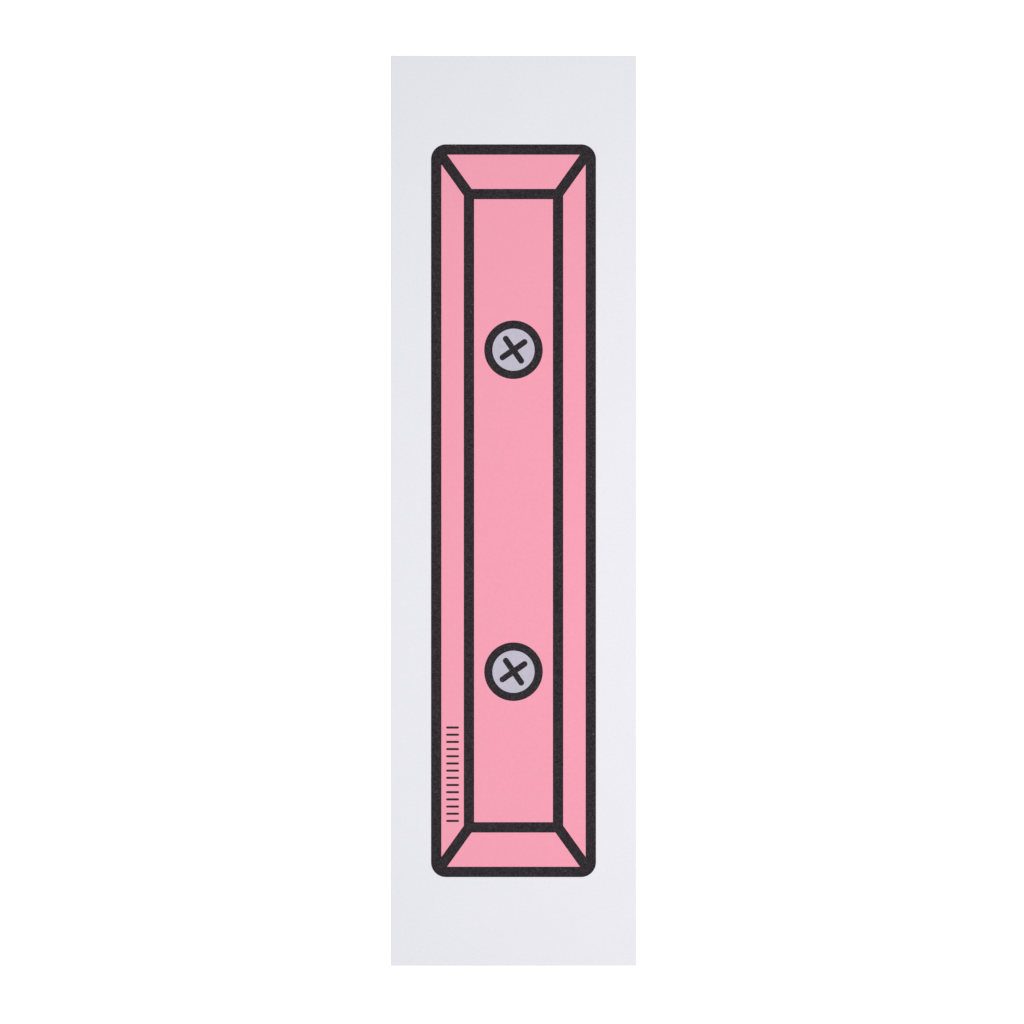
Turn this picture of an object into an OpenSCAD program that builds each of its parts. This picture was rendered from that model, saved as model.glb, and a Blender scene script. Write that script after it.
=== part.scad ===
// Printed skateboard grip sheet lying face up on its release liner.
// The sheet is a stack of bonded layers. Its print is a plain bevelled block seen from above,
// in straight black lines: a top face, four slopes and two cross-head screws.
// Origin: bottom centre of the liner. +Y runs to the head end, +Z is the printed side.

/* [Sheet] */
// Width of the sheet, 9 inches
sheet_w = 228.6; // [200:0.1:280]
// Length of the sheet
sheet_l = 848; // [700:1:1200]

/* [Layers] */
// Thickness of the release liner's paper
liner_t = 0.12; // [0.08:0.01:0.2]
// Thickness of the silicone coat on the liner
silicone_t = 0.02; // [0.01:0.01:0.04]
// Thickness of the pressure-sensitive adhesive
adhesive_t = 0.08; // [0.05:0.01:0.15]
// Thickness of the backing film that carries the grit
film_t = 0.2; // [0.1:0.01:0.35]
// Thickness of the make coat, the resin that the grains sit in
make_t = 0.08; // [0.04:0.01:0.12]
// Thickness of the layer of grit
grit_t = 0.22; // [0.15:0.01:0.4]
// Thickness of the size coat, the resin that locks the grains
size_t = 0.05; // [0.02:0.01:0.1]

/* [Print] */
// Thickness of the white base print
base_ink_t = 0.02; // [0.01:0.01:0.05]
// Thickness of the pink and grey print
colour_ink_t = 0.03; // [0.01:0.01:0.04]
// Thickness of the black print, which is the proudest
black_ink_t = 0.05; // [0.05:0.01:0.08]

/* [Block] */
// Width of the block, between the middles of its outer lines
block_w = 144; // [140:1:160]
// Length of the block, between the middles of its outer lines
block_l = 673; // [640:1:680]
// Radius of the block's corners, at the middle of the outer line
corner_r = 9; // [6:0.5:12]
// Width of the top face, between the middles of its edge lines
face_w = 83; // [74:1:86]
// Length of the top face, between the middles of its edge lines
face_l = 590; // [540:1:600]
// Width of the black lines
line_w = 9.6; // [6:0.1:10]

/* [Screws] */
// Distance between the middles of the two screws
screw_gap = 300; // [200:1:400]
// Outer diameter of the black ring round a screw
ring_d = 54.5; // [50:0.1:58]
// Width of the ring
ring_w = 7.6; // [6:0.1:8.5]
// Length of a bar of the cross, between the centres of its round ends
cross_l = 25; // [16:0.5:26]
// Width of a bar of the cross
cross_w = 5.5; // [3:0.1:6]
// Angle by which each cross is turned
cross_turn = 35; // [0:1:90]

/* [Tick marks] */
// Number of tick marks on the left slope
tick_count = 14; // [4:1:16]
// Width of a tick mark
tick_w = 2; // [1:0.1:3]
// Length of a tick mark, between the centres of its round ends
tick_l = 10; // [6:0.5:12]
// Length of the column of tick marks
tick_span = 87; // [60:1:120]

/* [Hidden] */

kraft = [0.80, 0.70, 0.53];
silicone = [0.86, 0.80, 0.66];
adhesive = [0.90, 0.88, 0.78];
film = [0.80, 0.80, 0.82];
resin = [0.70, 0.62, 0.46];
grit = [0.84, 0.84, 0.86];
clear_resin = [0.88, 0.88, 0.90];
white = [0.92, 0.92, 0.95];
pink = [0.97, 0.64, 0.72];
grey = [0.76, 0.75, 0.81];
black = [0.20, 0.19, 0.20];

// Height of the underside of each layer
silicone_z = liner_t;
adhesive_z = silicone_z + silicone_t;
film_z = adhesive_z + adhesive_t;
make_z = film_z + film_t;
grit_z = make_z + make_t;
size_z = grit_z + grit_t;
base_ink_z = size_z + size_t;
print_z = base_ink_z + base_ink_t;
overprint_z = print_z + colour_ink_t;
overprint_t = black_ink_t - colour_ink_t;

// Half sizes of the block and of its top face
block_x = block_w / 2;
block_y = block_l / 2;
face_x = face_w / 2;
face_y = face_l / 2;

// How far a rounded corner's middle lies inside the square one, along each axis
corner_cut = corner_r * (1 - 1 / sqrt(2));

head_d = ring_d - 2 * ring_w;

// The column of tick marks stands in the middle of the left slope, from near its foot end
tick_x = -(block_x + face_x) / 2;
tick_low_y = 6 - face_y;
tick_pitch = tick_span / (tick_count - 1);

// Finest angle and length of the steps along a curve
$fa = 4;
$fs = 0.4;

// Shape of a rectangle with rounded corners
module rounded(width, length, radius) {
    offset(r = radius) square([width - 2 * radius, length - 2 * radius], center = true);
}

// Shape of a straight bar with round ends
module bar(start, stop, width) {
    hull() {
        translate(start) circle(d = width);
        translate(stop) circle(d = width);
    }
}

// Shape of all the block's black lines
module block_lines() {
    difference() {
        rounded(block_w + line_w, block_l + line_w, corner_r + line_w / 2);
        rounded(block_w - line_w, block_l - line_w, corner_r - line_w / 2);
    }
    difference() {
        offset(r = line_w / 2) square([face_w, face_l], center = true);
        square([face_w - line_w, face_l - line_w], center = true);
    }
    for (x = [-1, 1], y = [-1, 1])
        bar([x * face_x, y * face_y], [x * (block_x - corner_cut), y * (block_y - corner_cut)],
            line_w);
}

// Field of colour that fills the space between the black lines around a slope
module slope_field(edge) {
    difference() {
        intersection() {
            polygon(edge);
            rounded(block_w, block_l, corner_r);
        }
        block_lines();
    }
}

// Left or right slope, on the side that the sign gives
module side_slope(side) {
    slope_field([
        [side * block_x, -block_y], [side * block_x, block_y],
        [side * face_x, face_y], [side * face_x, -face_y]
    ]);
}

// Head or foot slope, at the end that the sign gives
module end_slope(end) {
    slope_field([
        [-block_x, end * block_y], [block_x, end * block_y],
        [face_x, end * face_y], [-face_x, end * face_y]
    ]);
}

// Puts something where the upper or the lower screw is, as the sign gives
module at_screw(end) {
    translate([0, end * screw_gap / 2]) children();
}

// Layer as large as the sheet
module sheet_layer(bottom, thickness) {
    translate([-sheet_w / 2, -sheet_l / 2, bottom]) cube([sheet_w, sheet_l, thickness]);
}

// Ink printed on the white base
module printed(thickness) {
    translate([0, 0, print_z]) linear_extrude(thickness) children();
}

// Black ink printed over the pink or grey
module overprinted() {
    translate([0, 0, overprint_z]) linear_extrude(overprint_t) children();
}

module liner_paper() {
    color(kraft) sheet_layer(0, liner_t);
}

module silicone_coat() {
    color(silicone) sheet_layer(silicone_z, silicone_t);
}

module adhesive_layer() {
    color(adhesive) sheet_layer(adhesive_z, adhesive_t);
}

module backing_film() {
    color(film) sheet_layer(film_z, film_t);
}

module make_coat() {
    color(resin) sheet_layer(make_z, make_t);
}

module grit_layer() {
    color(grit) sheet_layer(grit_z, grit_t);
}

module size_coat() {
    color(clear_resin) sheet_layer(size_z, size_t);
}

module white_base_ink() {
    color(white) sheet_layer(base_ink_z, base_ink_t);
}

module pink_top_face() {
    color(pink) printed(colour_ink_t) difference() {
        square([face_w - line_w, face_l - line_w], center = true);
        for (end = [-1, 1]) at_screw(end) circle(d = ring_d);
    }
}

module pink_left_slope() {
    color(pink) printed(colour_ink_t) side_slope(-1);
}

module pink_right_slope() {
    color(pink) printed(colour_ink_t) side_slope(1);
}

module pink_head_slope() {
    color(pink) printed(colour_ink_t) end_slope(1);
}

module pink_foot_slope() {
    color(pink) printed(colour_ink_t) end_slope(-1);
}

module black_block_outline() {
    color(black) printed(black_ink_t) block_lines();
}

// Black ring round a screw head
module screw_ring(end) {
    color(black) printed(black_ink_t) at_screw(end) difference() {
        circle(d = ring_d);
        circle(d = head_d);
    }
}

// Grey screw head inside the ring
module screw_head(end) {
    color(grey) printed(colour_ink_t) at_screw(end) circle(d = head_d);
}

// Black cross on a screw head
module screw_cross(end) {
    color(black) overprinted() at_screw(end)
        for (angle = [cross_turn, cross_turn + 90])
            rotate(angle) bar([-cross_l / 2, 0], [cross_l / 2, 0], cross_w);
}

module upper_screw_ring() {
    screw_ring(1);
}

module lower_screw_ring() {
    screw_ring(-1);
}

module upper_screw_head() {
    screw_head(1);
}

module lower_screw_head() {
    screw_head(-1);
}

module upper_screw_cross() {
    screw_cross(1);
}

module lower_screw_cross() {
    screw_cross(-1);
}

module tick_marks() {
    color(black) overprinted() for (i = [0:tick_count - 1])
        translate([tick_x, tick_low_y + i * tick_pitch])
            bar([-tick_l / 2, 0], [tick_l / 2, 0], tick_w);
}

liner_paper();
silicone_coat();
adhesive_layer();
backing_film();
make_coat();
grit_layer();
size_coat();
white_base_ink();
pink_top_face();
pink_left_slope();
pink_right_slope();
pink_head_slope();
pink_foot_slope();
black_block_outline();
upper_screw_ring();
lower_screw_ring();
upper_screw_head();
lower_screw_head();
upper_screw_cross();
lower_screw_cross();
tick_marks();
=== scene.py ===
# The looks of a printed skateboard grip sheet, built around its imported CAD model.
# Lengths are in metres. The sheet lies along Y with its head end at +Y and its print up.
import math

import bmesh
import bpy
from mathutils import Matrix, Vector


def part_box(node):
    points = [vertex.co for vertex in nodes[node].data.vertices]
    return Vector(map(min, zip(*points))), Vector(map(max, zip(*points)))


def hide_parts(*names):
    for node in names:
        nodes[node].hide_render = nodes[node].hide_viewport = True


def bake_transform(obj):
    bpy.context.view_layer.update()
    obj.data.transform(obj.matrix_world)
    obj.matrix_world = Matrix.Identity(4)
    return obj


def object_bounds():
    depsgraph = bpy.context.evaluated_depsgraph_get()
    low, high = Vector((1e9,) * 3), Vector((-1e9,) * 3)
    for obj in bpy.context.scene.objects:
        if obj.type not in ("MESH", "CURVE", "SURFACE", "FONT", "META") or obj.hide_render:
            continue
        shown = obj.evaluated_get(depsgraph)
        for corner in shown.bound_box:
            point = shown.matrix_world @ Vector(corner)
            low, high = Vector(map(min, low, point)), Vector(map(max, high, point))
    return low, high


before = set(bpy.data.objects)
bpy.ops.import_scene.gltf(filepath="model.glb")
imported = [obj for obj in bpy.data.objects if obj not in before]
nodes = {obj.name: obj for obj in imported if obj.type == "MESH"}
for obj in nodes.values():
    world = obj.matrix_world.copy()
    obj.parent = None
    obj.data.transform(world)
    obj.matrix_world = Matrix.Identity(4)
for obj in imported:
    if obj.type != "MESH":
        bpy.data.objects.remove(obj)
cad_low, cad_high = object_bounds()

MM = 0.001

# Sizes of the patterns in the inks, from the grains under them to a slow drift of tone
GRAIN = 0.35 * MM
CLOUD = 1 * MM
FLECK = 1.1 * MM
PATCH = 4 * MM
DRIFT = 45 * MM

# The share of the fleck pattern's cells that are flecks
FLECK_SHARE = 0.0015

# Distances between the lines where the sheet can bend, and between a layer's columns of points
BEND_PITCH = 5 * MM
COLUMN_PITCH = 8 * MM

# Points of a mesh that are closer than this are one point, and points this near a cut lie on it
SAME_POINT = 0.001 * MM
ON_CUT = 0.0001 * MM

# Sizes and places that the frame gives
sheet_low, sheet_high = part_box("white_base_ink")
sheet_l = sheet_high.y - sheet_low.y
top_z = cad_high.z


# ---------------------------------------------------------------- materials


def linear(*levels):
    """Scene-linear colour of an sRGB one, whose levels run from 0 to 1."""
    return tuple(v / 12.92 if v <= 0.04045 else ((v + 0.055) / 1.055) ** 2.4 for v in levels)


class Paint:
    """One procedural material. Most calls add a node or two and return the socket of the result."""

    def __init__(self, name, roughness, specular=0.5):
        self.material = bpy.data.materials.new(name)
        self.material.use_nodes = True
        self.tree = self.material.node_tree
        self.shader = self.tree.nodes["Principled BSDF"]
        self.middle_roughness = roughness
        self.shader.inputs["Roughness"].default_value = roughness
        self.shader.inputs["Specular IOR Level"].default_value = specular
        self.place = self.tree.nodes.new("ShaderNodeTexCoord").outputs["Object"]

    def add(self, kind, inputs, **settings):
        """Node of that kind. An input is a number, a vector, a colour or another node's socket."""
        node = self.tree.nodes.new(kind)
        for key, value in settings.items():
            setattr(node, key, value)
        for key, value in inputs.items():
            if isinstance(value, bpy.types.NodeSocket):
                self.tree.links.new(value, node.inputs[key])
            else:
                node.inputs[key].default_value = value
        return node

    def stretched(self, x, y, z):
        """Place in the object, with each axis scaled, for patterns with a direction."""
        scale = self.add("ShaderNodeMapping", {"Vector": self.place, "Scale": (x, y, z)})
        return scale.outputs["Vector"]

    def noise(self, size, detail=2.0, place=None):
        """Soft noise with features of that size, which stays near 0.5."""
        inputs = {"Vector": place or self.place, "Scale": 1 / size, "Detail": detail}
        return self.add("ShaderNodeTexNoise", inputs).outputs[0]

    def clouds(self, size, detail=2.0):
        """The same noise with more contrast, so that it runs the whole way from 0 to 1."""
        inputs = {"Value": self.noise(size, detail), "From Min": 0.3, "From Max": 0.7}
        return self.add("ShaderNodeMapRange", inputs).outputs[0]

    def cells(self, size):
        """Grains of that size: the distance from a grain's middle, and a number for each grain."""
        node = self.add("ShaderNodeTexVoronoi", {"Vector": self.place, "Scale": 1 / size})
        number = self.add("ShaderNodeSeparateColor", {"Color": node.outputs["Color"]})
        return node.outputs["Distance"], number.outputs["Red"]

    def math(self, operation, a, b):
        """Result of that operation on two numbers or sockets."""
        return self.add("ShaderNodeMath", {0: a, 1: b}, operation=operation).outputs[0]

    def swing(self, factor, amount):
        """Factor from 0 to 1 turned into a number that goes by that amount either way of zero."""
        return self.math("MULTIPLY", self.math("SUBTRACT", factor, 0.5), 2 * amount)

    def total(self, start, swings):
        """The number start with every swing added to it."""
        for swing in swings:
            start = self.math("ADD", swing, start)
        return start

    def mix(self, factor, a, b):
        """Colour between a, where the factor is 0, and b, where it is 1."""
        a, b = (c if isinstance(c, bpy.types.NodeSocket) else (*c, 1.0) for c in (a, b))
        # A mix node has a set of sockets for each kind of value: 6, 7 and the output 2 are colours
        return self.add("ShaderNodeMix", {0: factor, 6: a, 7: b}, data_type="RGBA").outputs[2]

    def shade(self, colour, *swings):
        """Colour made lighter or darker by the sum of the swings."""
        inputs = {0: colour, "Scale": self.total(1.0, swings)}
        return self.add("ShaderNodeVectorMath", inputs, operation="SCALE").outputs[0]

    def colour(self, socket):
        """Gives the surface that colour."""
        self.tree.links.new(socket, self.shader.inputs["Base Color"])

    def vary_roughness(self, *swings):
        """Lets the surface's roughness swing around its middle value."""
        roughness = self.total(self.middle_roughness, swings)
        self.tree.links.new(roughness, self.shader.inputs["Roughness"])

    def bump(self, height, depth):
        """Relief from a height, in which a height of 1 stands for that depth."""
        inputs = {"Height": height, "Distance": depth, "Strength": 1.0}
        relief = self.add("ShaderNodeBump", inputs).outputs[0]
        self.tree.links.new(relief, self.shader.inputs["Normal"])


def tones(colour, spread):
    """A colour made lighter, and the same colour made darker, by that share."""
    return [tuple(c * (1 + s) for c in colour) for s in (spread, -spread)]


def ink(name, light_and_dark, mottle, gloss=0.2, fleck=None):
    """Matt ink over abrasive grains. It wanders between two tones, is mottled by that share, and
    has painted shade at the grains' edges.
    """
    paint = Paint(name, 0.75, gloss)
    light, dark = light_and_dark
    distance, number = paint.cells(GRAIN)
    colour = paint.mix(paint.clouds(PATCH, 3), dark, light)
    if fleck:
        _, spot = paint.cells(FLECK)
        colour = paint.mix(paint.math("GREATER_THAN", spot, 1 - FLECK_SHARE), colour, fleck)
    drift = paint.swing(paint.noise(DRIFT), 0.01)
    cloud = paint.swing(paint.clouds(CLOUD, 1), mottle)
    grains = paint.swing(number, 0.03 + mottle / 2)
    # Painted shade: each grain's colour gets darker away from its middle, as if shaded in the
    # hollows between grains
    painted_hollow_shade = paint.math("MULTIPLY", distance, -0.06)
    paint.colour(paint.shade(colour, drift, cloud, grains, painted_hollow_shade))
    paint.vary_roughness(paint.swing(number, 0.08))
    paint.bump(paint.math("SUBTRACT", 1.0, distance), 0.1 * MM)
    return paint.material


def kraft_paper():
    """Brown paper with long fibres in two directions, a little cloudy."""
    paint = Paint("kraft_paper", 0.8, 0.3)
    light, dark = tones(linear(0.80, 0.70, 0.53), 0.07)
    clouds = paint.clouds(9 * MM, 4)
    along = paint.noise(0.35 * MM, 2, paint.stretched(1, 0.08, 1))
    across = paint.noise(0.35 * MM, 2, paint.stretched(0.12, 1, 1))
    fibres = paint.math("ADD", paint.swing(along, 0.09), paint.swing(across, 0.06))
    paint.colour(paint.shade(paint.mix(clouds, dark, light), fibres))
    paint.vary_roughness(paint.swing(along, 0.1))
    paint.bump(paint.math("ADD", along, across), 0.02 * MM)
    return paint.material


def silicone_face():
    """Slick release face: tan, with a soft gloss and the faint grain of the paper under it."""
    paint = Paint("silicone_face", 0.3)
    light, dark = tones(linear(0.80, 0.69, 0.51), 0.02)
    clouds = paint.clouds(12 * MM, 4)
    fibres = paint.noise(0.9 * MM, 1, paint.stretched(1, 0.1, 1))
    paint.colour(paint.shade(paint.mix(clouds, dark, light), paint.swing(fibres, 0.07)))
    paint.vary_roughness(paint.swing(fibres, 0.08), paint.swing(paint.noise(30 * MM), 0.06))
    paint.bump(fibres, 0.006 * MM)
    return paint.material


def adhesive_gum():
    """Clear, slightly milky adhesive with a wet gloss and shallow ripples."""
    paint = Paint("adhesive_gum", 0.22)
    light, dark = tones(linear(0.90, 0.88, 0.78), 0.03)
    milk = paint.mix(paint.clouds(7 * MM, 3), dark, light)
    paint.colour(paint.shade(milk, paint.swing(paint.noise(60 * MM), 0.03)))
    ripples = paint.noise(2.5 * MM, 3)
    paint.vary_roughness(paint.swing(ripples, 0.12))
    paint.bump(ripples, 0.02 * MM)
    return paint.material


def resin(name, colour, roughness):
    """Cured resin or film, a little uneven in tone, with fine pits."""
    paint = Paint(name, roughness, 0.4)
    light, dark = tones(colour, 0.05)
    clouds = paint.clouds(3 * MM, 3)
    pits = paint.noise(0.2 * MM)
    paint.colour(paint.shade(paint.mix(clouds, dark, light), paint.swing(pits, 0.05)))
    paint.vary_roughness(paint.swing(pits, 0.1))
    paint.bump(pits, 0.02 * MM)
    return paint.material


def abrasive():
    """Packed mineral grains, each with its own tone, darkened towards their edges by painted shade.
    """
    paint = Paint("abrasive", 0.55)
    distance, number = paint.cells(0.25 * MM)
    light, dark = tones(linear(0.84, 0.84, 0.86), 0.15)
    # Painted shade: each grain's colour gets darker away from its middle, as if shaded in the
    # hollows between grains
    painted_hollow_shade = paint.math("MULTIPLY", distance, -0.2)
    paint.colour(paint.shade(paint.mix(number, dark, light), painted_hollow_shade))
    paint.vary_roughness(paint.swing(number, 0.25))
    paint.bump(paint.math("SUBTRACT", 1.0, distance), 0.1 * MM)
    return paint.material


# The black is duller than the other inks. It is strongly mottled, and has a few paler flecks.
black_tones = [(0.0308, 0.0261, 0.0296), (0.0203, 0.0160, 0.0201)]
black_fleck = (0.065, 0.06, 0.065)
inks = {
    "white_ink": ink("white_ink", tones((0.741, 0.737, 0.780), 0.004), mottle=0.007),
    "pink_ink": ink("pink_ink", tones((0.826, 0.316, 0.410), 0.012), mottle=0.015),
    "grey_ink": ink("grey_ink", tones((0.475, 0.452, 0.538), 0.04), mottle=0.03),
    "black_ink": ink("black_ink", black_tones, mottle=0.7, gloss=0.08, fleck=black_fleck),
}
kraft = kraft_paper()
silicone = silicone_face()
gum = adhesive_gum()
film = resin("carrier_film", linear(0.80, 0.80, 0.82), 0.35)
amber = resin("amber_resin", linear(0.70, 0.62, 0.46), 0.45)
clear = resin("clear_resin", linear(0.88, 0.88, 0.90), 0.4)
grit = abrasive()


# ---------------------------------------------------------------- layers and print of the sheet


def steps(start, stop, pitch):
    """Places from start to stop, both of them included, about a pitch apart."""
    count = max(1, round((stop - start) / pitch))
    return [start + (stop - start) * i / count for i in range(count)] + [stop]


def knife(along, phase):
    """How far inside the true edge the knife cut there, from 0 to a fifth of a millimetre."""
    slow = math.sin(along / (31 * MM) + phase)
    quick = 0.6 * math.sin(along / (11.7 * MM) + 2.3 * phase)
    return 0.06 * MM * (1.6 + (slow + quick))


def sheet_piece(name, mesh, material, node):
    """Piece of the grip sheet, which stands in the place of a CAD node and hides that node."""
    mesh.materials.append(material)
    piece = bpy.data.objects.new(name, mesh)
    bpy.context.scene.collection.objects.link(piece)
    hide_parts(node)
    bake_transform(piece)


# The lines across the sheet where its layers and its print can bend
bend_lines = steps(sheet_low.y, sheet_high.y, BEND_PITCH)


def layer(name, node, material):
    """Closed slab in the place of a CAD layer, with a hand-cut edge."""
    low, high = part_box(node)
    columns = steps(low.x, high.x, COLUMN_PITCH)
    last_row, last_column = len(bend_lines) - 1, len(columns) - 1

    # The underside's points and then the top's, row by row from the foot end. Each of the four
    # edges is cut in a phase of its own.
    points = []
    for z in (low.z, high.z):
        for j, y in enumerate(bend_lines):
            for i, x in enumerate(columns):
                cut_x = knife(y, 1) if i == 0 else -knife(y, 4) if i == last_column else 0
                cut_y = knife(x, 2) if j == 0 else -knife(x, 5) if j == last_row else 0
                points.append((x + cut_x, y + cut_y, z))

    # Underside and top, then the foot and head edges, then the two long edges
    width = len(columns)
    level = width * len(bend_lines)
    faces = []
    for j in range(last_row):
        for i in range(last_column):
            k = j * width + i
            faces.append((k, k + width, k + width + 1, k + 1))
            faces.append((level + k, level + k + 1, level + k + width + 1, level + k + width))
    for i in range(last_column):
        head = last_row * width + i
        faces.append((i, i + 1, level + i + 1, level + i))
        faces.append((head + 1, head, level + head, level + head + 1))
    for j in range(last_row):
        left = j * width
        right = left + last_column
        faces.append((left + width, left, level + left, level + left + width))
        faces.append((right, right + width, level + right + width, level + right))

    mesh = bpy.data.meshes.new(name)
    mesh.from_pydata(points, [], faces)
    sheet_piece(name, mesh, material, node)


def ink_film(node, material):
    """Ink in the exact shape of its CAD node, cut across at the bend lines."""
    low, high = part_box(node)
    shape = bmesh.new()
    shape.from_mesh(nodes[node].data)
    bmesh.ops.remove_doubles(shape, verts=shape.verts, dist=SAME_POINT)
    for y in bend_lines:
        if low.y < y < high.y:
            everything = shape.verts[:] + shape.edges[:] + shape.faces[:]
            bmesh.ops.bisect_plane(
                shape, geom=everything, dist=ON_CUT, plane_co=(0, y, 0), plane_no=(0, 1, 0)
            )
    name = node + "_ink"
    mesh = bpy.data.meshes.new(name)
    shape.to_mesh(mesh)
    shape.free()
    sheet_piece(name, mesh, material, node)


layer("adhesive_sheet", "adhesive_layer", gum)
layer("carrier_film", "backing_film", film)
layer("make_resin", "make_coat", amber)
layer("abrasive_bed", "grit_layer", grit)
layer("size_resin", "size_coat", clear)
layer("white_print", "white_base_ink", inks["white_ink"])

# The CAD nodes printed in each ink
printed = {
    "pink_ink": [
        "pink_top_face", "pink_left_slope", "pink_right_slope", "pink_head_slope",
        "pink_foot_slope",
    ],
    "grey_ink": ["upper_screw_head", "lower_screw_head"],
    "black_ink": [
        "black_block_outline", "upper_screw_ring", "lower_screw_ring", "upper_screw_cross",
        "lower_screw_cross", "tick_marks",
    ],
}
for slot, names in printed.items():
    for node in names:
        ink_film(node, inks[slot])


# ---------------------------------------------------------------- finishes of the liner's nodes

for node, material in (("liner_paper", kraft), ("silicone_coat", silicone)):
    nodes[node].data.materials.clear()
    nodes[node].data.materials.append(material)


# ---------------------------------------------------------------- studio


def pale_floor():
    """Very wide white table just under the liner.

    It glows a little, and more far away, so that it is white to the horizon.
    """
    reach = 300
    gap = 0.05 * MM
    mesh = bpy.data.meshes.new("studio_floor")
    corners = [(-reach, -reach, 0), (reach, -reach, 0), (reach, reach, 0), (-reach, reach, 0)]
    mesh.from_pydata(corners, [], [(0, 1, 2, 3)])
    paint = Paint("studio_white", 0.9, 0.2)
    paint.shader.inputs["Base Color"].default_value = (0.6, 0.6, 0.6, 1.0)
    paint.shader.inputs["Emission Color"].default_value = (1.0, 1.0, 1.0, 1.0)
    length = paint.add("ShaderNodeVectorMath", {0: paint.place}, operation="LENGTH")
    distance = length.outputs["Value"]
    ramp = {"Value": distance, "From Min": 0.6, "From Max": 3.0, "To Min": 0.58, "To Max": 0.85}
    glow = paint.add("ShaderNodeMapRange", ramp).outputs[0]
    paint.tree.links.new(glow, paint.shader.inputs["Emission Strength"])
    mesh.materials.append(paint.material)
    floor = bpy.data.objects.new("studio_floor", mesh)
    floor.location.z = cad_low.z - gap
    bpy.context.scene.collection.objects.link(floor)


def soft_light(name, place, target, side, power, colour):
    """Square soft box that lights the target and isn't seen itself."""
    lamp = bpy.data.lights.new(name, "AREA")
    lamp.shape = "SQUARE"
    lamp.size = side
    lamp.energy = power
    lamp.color = colour
    light = bpy.data.objects.new(name, lamp)
    light.location = place
    aim = [t - p for t, p in zip(target, place)]
    light.rotation_mode = "QUATERNION"
    light.rotation_quaternion = Vector(aim).to_track_quat("-Z", "Y")
    light.visible_camera = False
    bpy.context.scene.collection.objects.link(light)


def bright_room(strength, tint):
    """Even light from all round, and white where the camera sees past the floor."""
    world = bpy.data.worlds.new("studio_room")
    world.use_nodes = True
    tree = world.node_tree
    light = tree.nodes["Background"]
    light.inputs["Color"].default_value = (*tint, 1.0)
    light.inputs["Strength"].default_value = strength
    wall = tree.nodes.new("ShaderNodeBackground")
    wall.inputs["Color"].default_value = (1.0, 1.0, 1.0, 1.0)
    wall.inputs["Strength"].default_value = 1.05
    seen = tree.nodes.new("ShaderNodeLightPath")
    choose = tree.nodes.new("ShaderNodeMixShader")
    tree.links.new(seen.outputs["Is Camera Ray"], choose.inputs[0])
    tree.links.new(light.outputs[0], choose.inputs[1])
    tree.links.new(wall.outputs[0], choose.inputs[2])
    tree.links.new(choose.outputs[0], tree.nodes["World Output"].inputs["Surface"])
    bpy.context.scene.world = world


def overhead_camera(x, y, seen_width):
    """Camera straight above that place, with a long lens. It sees that width of the print."""
    data = bpy.data.cameras.new("camera")
    data.lens = 200
    data.sensor_width = 36
    data.clip_end = 50
    camera = bpy.data.objects.new("camera", data)
    height = seen_width * data.lens / data.sensor_width
    camera.location = (x, y, top_z + height)
    bpy.context.scene.collection.objects.link(camera)
    bpy.context.scene.camera = camera


pale_floor()
soft_light(
    "key_light", place=(0.41, -0.1, 1.66), target=(0.0, 0.0, 0.0), side=1.0, power=23.8,
    colour=(1.01, 0.99, 0.945)
)
bright_room(strength=0.48, tint=(0.97, 1.0, 1.085))
overhead_camera(x=-1.4 * MM, y=-1.2 * MM, seen_width=1.125 * sheet_l)
bpy.context.scene.view_settings.view_transform = "Standard"
